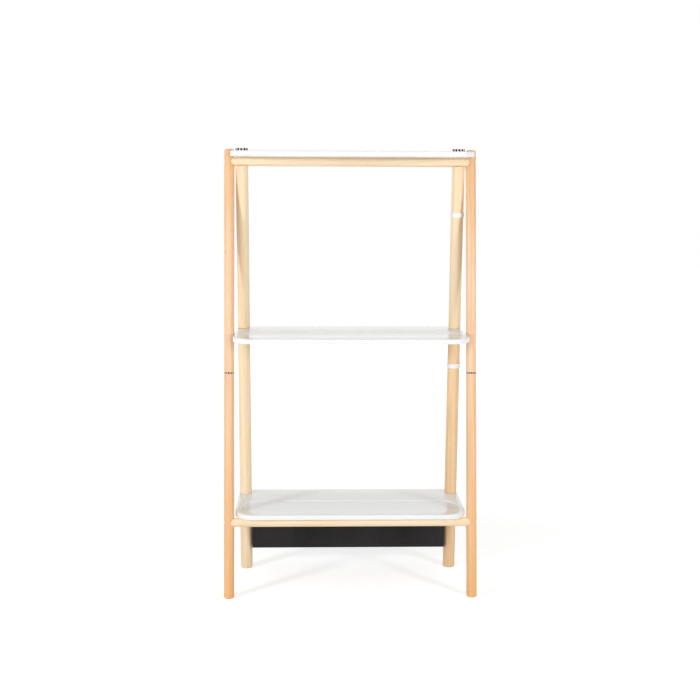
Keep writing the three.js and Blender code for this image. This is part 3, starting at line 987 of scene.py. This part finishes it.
def open_effect(name):
    """A node group that is given a place on the piece."""
    group = bpy.data.node_groups.new(name, "ShaderNodeTree")
    group.interface.new_socket(name="Place", in_out="INPUT", socket_type="NodeSocketVector")
    return group, add_node(group, "NodeGroupInput").outputs["Place"]


def close_effect(group, values):
    """Gives a node group one named output for each value."""
    for label in values:
        group.interface.new_socket(name=label, in_out="OUTPUT", socket_type="NodeSocketFloat")
    result = add_node(group, "NodeGroupOutput")
    for label, source in values.items():
        feed(group, result.inputs[label], source)
    return group


def use_effect(tree, group, place):
    node = add_node(tree, "ShaderNodeGroup", node_tree=group)
    feed(tree, node.inputs["Place"], place)
    return node.outputs


print("node helpers ready")

# %% [markdown]
# ## Shared effects
#
# Wood grain and marks of handling are used by several finishes, so each is a node group. The
# grain group takes a place whose Z runs along the fibres. Squeezing that place along Z stretches
# noise into long fibres; darker growth lines are a wave bent by slow noise; pores are short dashes.

# %% Effects
FIBRE_SCALE = 900
STRAND_SCALE = 260
BEND_SCALE = 45
BEND_REACH = 14
GROWTH_LINE_SCALE = 38
PORE_SCALE = 2600
TONE_SCALE = 7
SMUDGE_SCALE = 22
SPECK_SCALE = 1400
SCRATCH_SCALE = 1500
SCRATCH_TURN = (0, 0, 0.6)


def growth_lines(group, place):
    """Lines along the dowel, made of a wave that slow noise bends."""
    bend = noise(group, stretched(group, place, (1, 1, 0.05)), BEND_SCALE, 1, 0.5)
    wave = add_node(group, "ShaderNodeTexWave", wave_type="BANDS", bands_direction="DIAGONAL")
    feed(group, wave.inputs["Vector"], stretched(group, place, (1, 1, 0.01)))
    wave.inputs["Scale"].default_value = GROWTH_LINE_SCALE
    wave.inputs["Distortion"].default_value = 4
    wave.inputs["Detail"].default_value = 2
    feed(group, wave.inputs["Phase Offset"], remap(group, bend, 0.2, 0.8, 0, BEND_REACH))
    return remap(group, wave.outputs["Fac"], 0.5, 1, 0, 1)


def make_grain():
    group, place = open_effect("dowel_grain")
    fibres = noise(group, stretched(group, place, (1, 1, 0.016)), FIBRE_SCALE, 3, 0.6)
    strands = noise(group, stretched(group, place, (1, 1, 0.012)), STRAND_SCALE, 2, 0.5)
    dashes = noise(group, stretched(group, place, (1, 1, 0.07)), PORE_SCALE, 1, 0.4)
    pores = remap(group, dashes, 0.66, 0.74, 0, 1)
    tone = noise(group, stretched(group, place, (0.4, 0.4, 1)), TONE_SCALE, 2, 0.5)
    values = {
        "Fibres": calculate(group, "MULTIPLY", calculate(group, "ADD", fibres, strands), 0.5),
        "Growth lines": growth_lines(group, place),
        "Pores": pores,
        "Tone": remap(group, tone, 0.3, 0.7, 0, 1),
        "Height": calculate(group, "SUBTRACT", fibres, pores),
    }
    return close_effect(group, values)


def make_handling():
    """Smudges that change the gloss, sparse fine specks of dust, and very fine scratches."""
    group, place = open_effect("handling_marks")
    smudges = noise(group, place, SMUDGE_SCALE, 4, 0.6, 0.4)
    specks = noise(group, place, SPECK_SCALE, 0, 0.5)
    scratches = noise(group, stretched(group, place, (1, 0.02, 1), SCRATCH_TURN), SCRATCH_SCALE, 1, 0.5)
    values = {
        "Smudges": remap(group, smudges, 0.35, 0.7, 0, 1),
        "Specks": remap(group, specks, 0.78, 0.84, 0, 1),
        "Scratches": remap(group, scratches, 0.70, 0.76, 0, 1),
    }
    return close_effect(group, values)


grain = make_grain()
handling = make_handling()
print("effects", grain.name, handling.name)

# %% [markdown]
# ## Wood finishes
#
# The front legs are a warm orange that deepens towards both ends, the back legs and bars are pale,
# and the right back leg has two warmer lengths. Each is one body colour with a lighter strand,
# darker growth lines and pores, and a slow change of tone along the dowel. A thin clear coat gives
# the soft sheen of varnish. The grain's place is turned so that its Z follows the dowel: with the
# lean for the front legs, and by a quarter turn for the crossbars.

# %% Wood
UPRIGHT = (0, 0, 0)
LEANING = (LEAN, 0, 0)
LYING = (0, -math.pi / 2, 0)
PALEST_HEIGHT = 0.58
WARM_REACH = (0.08, 0.56)
LINE_SHARE = 0.3
PORE_SHARE = 0.3
GRAIN_DEPTH = 0.12 * MILLIMETRE


def warmth(tree, standing, tone):
    """Rises with the distance from the leg's palest height, and wanders a little with its tone."""
    split = add_node(tree, "ShaderNodeSeparateXYZ")
    feed(tree, split.inputs["Vector"], standing)
    from_pale = calculate(tree, "SUBTRACT", split.outputs["Z"], PALEST_HEIGHT)
    from_pale = calculate(tree, "ABSOLUTE", from_pale, 0)
    zone = remap(tree, from_pale, *WARM_REACH, 0, 0.9)
    return calculate(tree, "ADD", zone, remap(tree, tone, 0, 1, -0.1, 0.15))


def wood_finish(name, turn, body, light, dark, warm=None):
    """Wood with fibres, growth lines and pores, which may turn warmer towards both ends of a leg."""
    material, tree, shader = new_finish(name, Coat_Weight=0.2, Coat_Roughness=0.3, Specular_IOR_Level=0.35)
    standing = object_place(tree)
    place = stretched(tree, standing, turn=turn)
    wood = use_effect(tree, grain, place)
    marks = use_effect(tree, handling, place)
    base = mix_colours(tree, remap(tree, wood["Fibres"], 0.4, 0.62, 0, 1), body, light)
    if warm:
        base = mix_colours(tree, warmth(tree, standing, wood["Tone"]), base, warm)
    base = mix_colours(tree, remap(tree, wood["Tone"], 0, 1, 0, 0.3), base, body)
    base = add_share(tree, base, wood["Growth lines"], LINE_SHARE, dark)
    base = add_share(tree, base, wood["Pores"], PORE_SHARE, dark)
    feed(tree, shader.inputs["Base Color"], base)
    gloss = remap(tree, wood["Fibres"], 0.3, 0.7, 0.46, 0.58)
    gloss = calculate(tree, "ADD", gloss, calculate(tree, "MULTIPLY", marks["Smudges"], 0.07))
    feed(tree, shader.inputs["Roughness"], gloss)
    feed(tree, shader.inputs["Normal"], bump(tree, wood["Height"], 0.25, GRAIN_DEPTH))
    return material


front_wood = wood_finish(
    "front_leg_wood", LEANING, colour(244, 202, 162), colour(250, 214, 180), colour(216, 160, 110),
    colour(237, 178, 108),
)
back_wood = wood_finish(
    "back_leg_wood", UPRIGHT, colour(244, 219, 181), colour(249, 229, 196), colour(222, 188, 142)
)
warm_back_wood = wood_finish(
    "back_leg_warm_wood", UPRIGHT, colour(236, 199, 154), colour(243, 211, 170), colour(212, 166, 116)
)
bar_wood = wood_finish(
    "crossbar_wood", LYING, colour(247, 222, 186), colour(251, 231, 200), colour(226, 192, 148)
)
ring_wood = wood_finish(
    "ring_wood", UPRIGHT, colour(228, 190, 160), colour(238, 205, 178), colour(196, 150, 116)
)
cap_wood = wood_finish(
    "cap_wood", UPRIGHT, colour(248, 236, 220), colour(252, 243, 230), colour(226, 205, 180)
)
print("wood finishes ready")

# %% [markdown]
# ## Painted, plastic and metal finishes
#
# White lacquer is nearly smooth: a faint orange-peel bump and smudges in its gloss make it real.
# The trough's powder coat has a finer, stronger peel. The clips are moulded plastic, the bolts
# blackened steel, the hidden studs zinc-plated and the inserts brass. The cores are nearly black,
# with a fine thread.

# %% Painted, plastic and metal finishes
CLOUD_SCALE = 9
SPECK_SHARE = 0.5
METAL_CLOUD_SCALE = 300
METAL_GRAIN_SCALE = 1800
METAL_GRAIN_DEPTH = 0.05 * MILLIMETRE
THREAD_SCALE = 320
THREAD_CLOUD_SCALE = 400
THREAD_DEPTH = 0.2 * MILLIMETRE


def coated_finish(name, body, worn, gloss_range, peel_scale, peel, **constants):
    """A sprayed or moulded surface: peel in its bump, smudges in its gloss, specks in its colour."""
    material, tree, shader = new_finish(name, **constants)
    place = object_place(tree)
    marks = use_effect(tree, handling, place)
    cloud = remap(tree, noise(tree, place, CLOUD_SCALE, 5, 0.65), 0.3, 0.7, 0, 0.8)
    base = mix_colours(tree, cloud, body, worn)
    base = add_share(tree, base, marks["Specks"], SPECK_SHARE, worn)
    feed(tree, shader.inputs["Base Color"], base)
    gloss = remap(tree, marks["Smudges"], 0, 1, *gloss_range)
    feed(tree, shader.inputs["Roughness"], gloss)
    height = noise(tree, place, peel_scale, 1, 0.4)
    height = calculate(tree, "SUBTRACT", height, calculate(tree, "MULTIPLY", marks["Scratches"], 0.2))
    feed(tree, shader.inputs["Normal"], bump(tree, height, 0.3, peel))
    return material


def metal_finish(name, body, worn, gloss_range):
    """Bare or blackened metal, cloudy in its colour and gloss, with a fine grain in its bump."""
    material, tree, shader = new_finish(name, Metallic=1)
    place = object_place(tree)
    marks = use_effect(tree, handling, place)
    cloud = remap(tree, noise(tree, place, METAL_CLOUD_SCALE, 3, 0.6), 0.35, 0.65, 0, 1)
    feed(tree, shader.inputs["Base Color"], mix_colours(tree, cloud, body, worn))
    feed(tree, shader.inputs["Roughness"], remap(tree, cloud, 0, 1, *gloss_range))
    height = calculate(tree, "ADD", noise(tree, place, METAL_GRAIN_SCALE, 2, 0.5), marks["Scratches"])
    feed(tree, shader.inputs["Normal"], bump(tree, height, 0.2, METAL_GRAIN_DEPTH))
    return material


def threaded_finish(name, body, worn):
    """A dark core with a fine thread, which is a wave of bands in the bump."""
    material, tree, shader = new_finish(name, Specular_IOR_Level=0.2)
    place = object_place(tree)
    thread = add_node(tree, "ShaderNodeTexWave", wave_type="BANDS", bands_direction="Z")
    feed(tree, thread.inputs["Vector"], place)
    thread.inputs["Scale"].default_value = THREAD_SCALE
    cloud = remap(tree, noise(tree, place, THREAD_CLOUD_SCALE, 2, 0.5), 0.3, 0.7, 0, 1)
    feed(tree, shader.inputs["Base Color"], mix_colours(tree, cloud, body, worn))
    feed(tree, shader.inputs["Roughness"], remap(tree, cloud, 0, 1, 0.45, 0.65))
    feed(tree, shader.inputs["Normal"], bump(tree, thread.outputs["Fac"], 0.5, THREAD_DEPTH))
    return material


white_lacquer = coated_finish(
    "tray_white", colour(243, 244, 243), colour(237, 239, 238), (0.13, 0.24), 420, 0.006 * MILLIMETRE,
    Coat_Weight=0.3, Coat_Roughness=0.08,
)
black_powder = coated_finish(
    "trough_black", colour(22, 20, 22), colour(44, 42, 44), (0.5, 0.62), 1600, 0.06 * MILLIMETRE,
    Specular_IOR_Level=0.2,
)
white_plastic = coated_finish(
    "clip_white", colour(240, 240, 238), colour(232, 232, 229), (0.32, 0.45), 2400, 0.02 * MILLIMETRE
)
black_oxide = metal_finish("steel_black", colour(46, 43, 42), colour(66, 62, 60), (0.4, 0.55))
zinc_steel = metal_finish("steel", colour(178, 180, 184), colour(150, 152, 156), (0.25, 0.42))
brass = metal_finish("brass", colour(200, 164, 92), colour(168, 132, 70), (0.28, 0.45))
# The cores' dark finish is also used as painted shade on the slot walls and floors of the rings and caps.
dark_core = threaded_finish("dark_core", colour(22, 13, 10), colour(34, 22, 18))
print("finishes ready")

# %% [markdown]
# ## Putting the finishes on
#
# Each new piece takes one finish, and the rings and caps also take a dark second finish in their
# slots as painted shade. The measured nodes that stay hidden inside the stand, such as
# the studs, pins and inserts, keep their own shape and only change their material slots. The
# front legs' studs are as dark as the slots that they are seen through.

# %% Dress every piece


def dress(piece, material):
    piece.data.materials.clear()
    piece.data.materials.append(material)


def paint_slot_shade(ring, material):
    """Gives the marked faces of a castellated piece a second, dark finish: painted shade in the slots."""
    ring.data.materials.append(material)
    marks = [mark.value for mark in ring.data.attributes["in_slot"].data]
    for face, marked in zip(ring.data.polygons, marks):
        face.material_index = int(marked)


warm_lengths = [leg for leg in back_legs if "right_lower" in leg.name or "right_middle" in leg.name]
pale_lengths = [leg for leg in back_legs if leg not in warm_lengths]
for pieces, material in (
    (front_legs, front_wood),
    (pale_lengths, back_wood),
    (warm_lengths, warm_back_wood),
    (crossbars, bar_wood),
    (rings, ring_wood),
    (caps, cap_wood),
    (cores, dark_core),
    (trays, white_lacquer),
    ([trough], black_powder),
    (clips, white_plastic),
    (bolts + screws, black_oxide),
):
    for piece in pieces:
        dress(piece, material)

# Painted shade: the slot walls and floors of the rings and caps take the dark finish, where shade falls in
# the notches.
for piece in rings + caps:
    paint_slot_shade(piece, dark_core)

hidden_finishes = {"insert": brass, "stud": zinc_steel, "pin": zinc_steel}
for name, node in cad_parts.items():
    for word, material in hidden_finishes.items():
        if word in name:
            dress(node, material)
for label in SIDES:
    dress(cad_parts[f"front_leg_{label}_stud"], dark_core)
print("dressed", len(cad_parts), "measured nodes and the new pieces")

# %% [markdown]
# ## Floor, light and background
#
# Two soft boxes stand about 50 degrees to the left and right of the viewer, as high as the top tray.
# They throw the crossed shadows that the photograph shows on the trays and back legs, and because
# they are so low the top tray shades nothing below it. A wide box behind the viewer, a faint one
# behind the stand and the world fill the shadows. What the camera sees of the world is plain
# white. The floor glows a little for the camera and for reflections, more where less light reaches
# it, so that it is white too and keeps the stand's shadow.

# %% Floor and light
FLOOR_HALF = 8
FLOOR_SHADE = 0.85
# Each glow: distance from the stand in metres, strength.
NEAR_GLOW = (0.6, 0.5)
FAR_GLOW = (2.5, 0.66)
FILL_STRENGTH = 0.45
LIGHT_TARGET = Vector((0, 0, 0.5))
SIDE_BOX_SIZE = (0.35, 0.5)
FRONT_BOX_SIZE = (2.5, 1.2)
BACK_BOX_SIZE = (4, 2)
# Each box: azimuth in degrees, distance and height in metres, size in metres, power in watts.
SOFT_BOXES = {
    "left": (-55, 2.5, 0.94, SIDE_BOX_SIZE, 25),
    "right": (47, 2.5, 0.94, SIDE_BOX_SIZE, 19),
    "front": (0, 3.6, 0.6, FRONT_BOX_SIZE, 16.5),
    "back": (180, 3.2, 1.2, BACK_BOX_SIZE, 6),
}


def seen_directly(tree):
    """1 for rays from the camera, reflections and glass, and 0 for the rays that gather light."""
    path = add_node(tree, "ShaderNodeLightPath")
    seen = calculate(tree, "MAXIMUM", path.outputs["Is Camera Ray"], path.outputs["Is Glossy Ray"])
    return calculate(tree, "MAXIMUM", seen, path.outputs["Is Transmission Ray"])


def glowing_paper():
    """White paper that also glows, with a strength that changes with distance from the stand."""
    material, tree = empty_material("studio_floor")
    paper = add_node(tree, "ShaderNodeBsdfDiffuse")
    paper.inputs["Color"].default_value = (FLOOR_SHADE, FLOOR_SHADE, FLOOR_SHADE, 1)
    glow = add_node(tree, "ShaderNodeEmission")
    distance = add_node(tree, "ShaderNodeVectorMath", operation="LENGTH")
    feed(tree, distance.inputs[0], object_place(tree))
    near, near_strength = NEAR_GLOW
    far, far_strength = FAR_GLOW
    spread = remap(tree, distance.outputs["Value"], near, far, near_strength, far_strength)
    feed(tree, glow.inputs["Strength"], calculate(tree, "MULTIPLY", seen_directly(tree), spread))
    both = add_node(tree, "ShaderNodeAddShader")
    tree.links.new(paper.outputs[0], both.inputs[0])
    tree.links.new(glow.outputs[0], both.inputs[1])
    show_surface(tree, both)
    return material


def white_floor():
    deselect_everything()
    bpy.ops.mesh.primitive_plane_add(size=2 * FLOOR_HALF, location=(0, 0, 0))
    floor = bpy.context.object
    floor.name = "studio_floor"
    dress(floor, glowing_paper())


def white_world():
    world = bpy.data.worlds.new("studio")
    world.use_nodes = True
    bpy.context.scene.world = world
    tree = world.node_tree
    tree.nodes.clear()
    background = add_node(tree, "ShaderNodeBackground")
    background.inputs["Color"].default_value = (1, 1, 1, 1)
    strength = remap(tree, seen_directly(tree), 0, 1, FILL_STRENGTH, 1)
    feed(tree, background.inputs["Strength"], strength)
    tree.links.new(background.outputs[0], add_node(tree, "ShaderNodeOutputWorld").inputs["Surface"])


def soft_box(name, azimuth, distance, height, size, power):
    """A rectangular light. Azimuth 0 is behind the viewer, and positive is to the right."""
    light = bpy.data.lights.new(name, "AREA")
    light.shape = "RECTANGLE"
    light.size, light.size_y = size
    light.energy = power
    box = bpy.data.objects.new(name, light)
    bpy.context.scene.collection.objects.link(box)
    azimuth = math.radians(azimuth)
    box.location = (math.sin(azimuth) * distance, -math.cos(azimuth) * distance, height)
    box.rotation_euler = (box.location - LIGHT_TARGET).to_track_quat("Z", "Y").to_euler()
    box.visible_camera = False


white_floor()
white_world()
for side, settings in SOFT_BOXES.items():
    soft_box(f"soft_box_{side}", *settings)
bpy.context.scene.view_settings.view_transform = "Standard"
print("stage ready")
